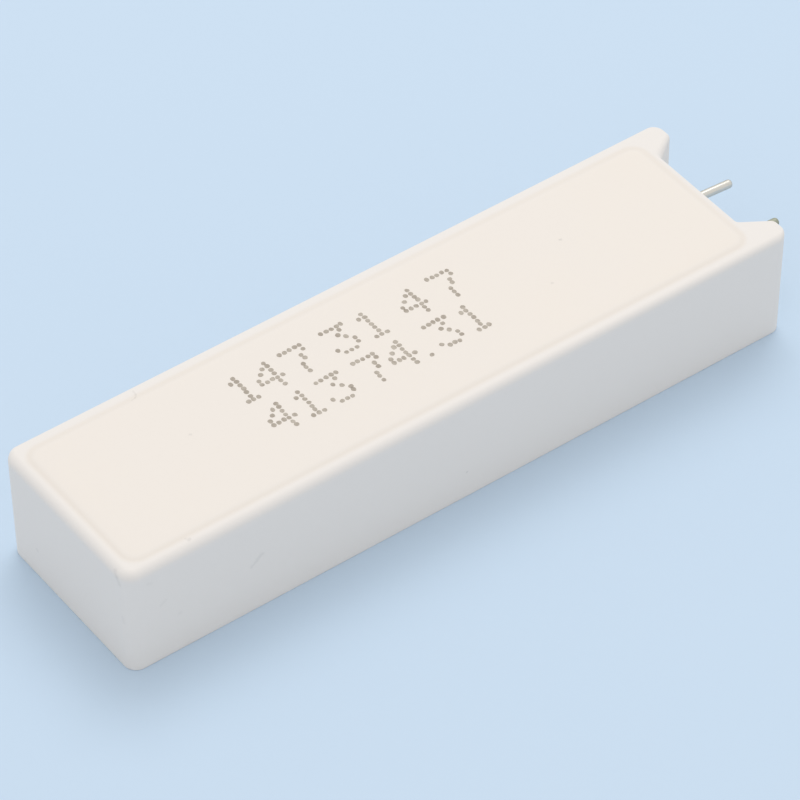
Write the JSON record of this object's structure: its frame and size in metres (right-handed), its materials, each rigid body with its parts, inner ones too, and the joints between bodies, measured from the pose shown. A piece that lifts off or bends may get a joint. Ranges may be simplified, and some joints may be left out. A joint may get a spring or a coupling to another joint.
{
  "type": "vertical-mount ceramic power resistor",
  "caption": "Oblong cement-filled ceramic power resistor for standing upright on a circuit board, with wire leads between short feet at one end.",
  "frame": {"origin": "under the middle of the overall length, cut lead ends included, on the plane of the open back", "axes": "+X along the case towards the leads, +Z out of the marking face, Y across the case"},
  "size_m": [0.0542, 0.0136, 0.0085],
  "materials": {
    "case_ceramic": "unglazed, fine matt grain, warm white",
    "cement": "cast, rough and matt",
    "former_ceramic": "fired, matt",
    "film": "baked oxide film",
    "cap_metal": "pressed and tinned",
    "tinned_wire": "tinned, bright"
  },
  "bodies": {
    "root": {"ceramic_case": "case_ceramic", "cement_fill": "cement", "former_rod": "former_ceramic", "resistive_film": "film", "cap_lead_end": "cap_metal", "cap_closed_end": "cap_metal", "lead_short": "tinned_wire", "lead_return": "tinned_wire"}
  },
  "joints": []
}
